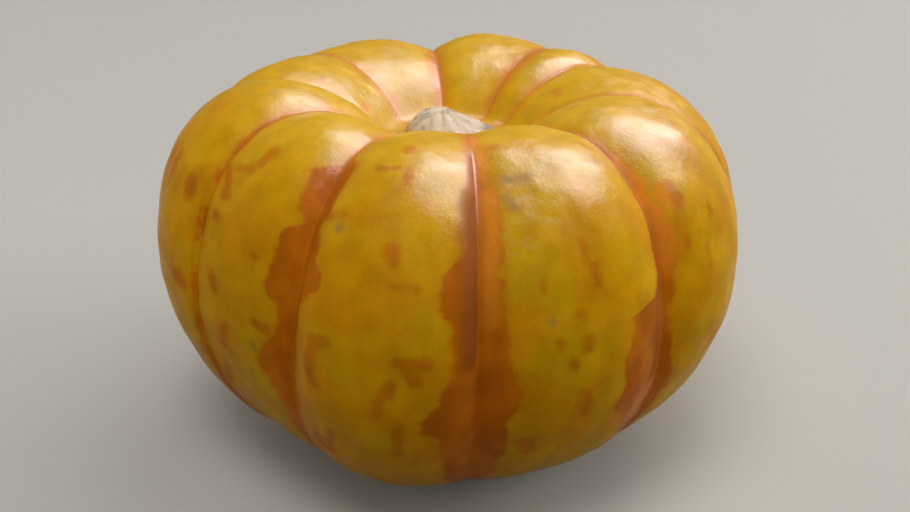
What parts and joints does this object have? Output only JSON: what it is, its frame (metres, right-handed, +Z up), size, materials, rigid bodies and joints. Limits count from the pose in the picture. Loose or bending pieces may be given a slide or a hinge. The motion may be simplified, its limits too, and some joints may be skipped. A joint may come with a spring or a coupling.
{
  "type": "pumpkin",
  "caption": "Small squat ribbed pumpkin, yellow with orange streaks in its grooves and a corky scar where the stem broke off; stands on its blossom end as food or autumn decor.",
  "frame": {"origin": "middle of the flat that the fruit rests on, at its blossom end", "axes": "+Z up along the fruit's axis, from the blossom end to the stem scar; -Y is the side with the two widest-set front lobes"},
  "size_m": [0.1003, 0.1038, 0.0639],
  "materials": {
    "rind": "waxy rind, golden yellow with orange streaks along the grooves",
    "cork": "dry, rough grey-beige cork"
  },
  "bodies": {
    "root": {"fruit": "rind", "stem_scar": "cork"}
  },
  "joints": []
}
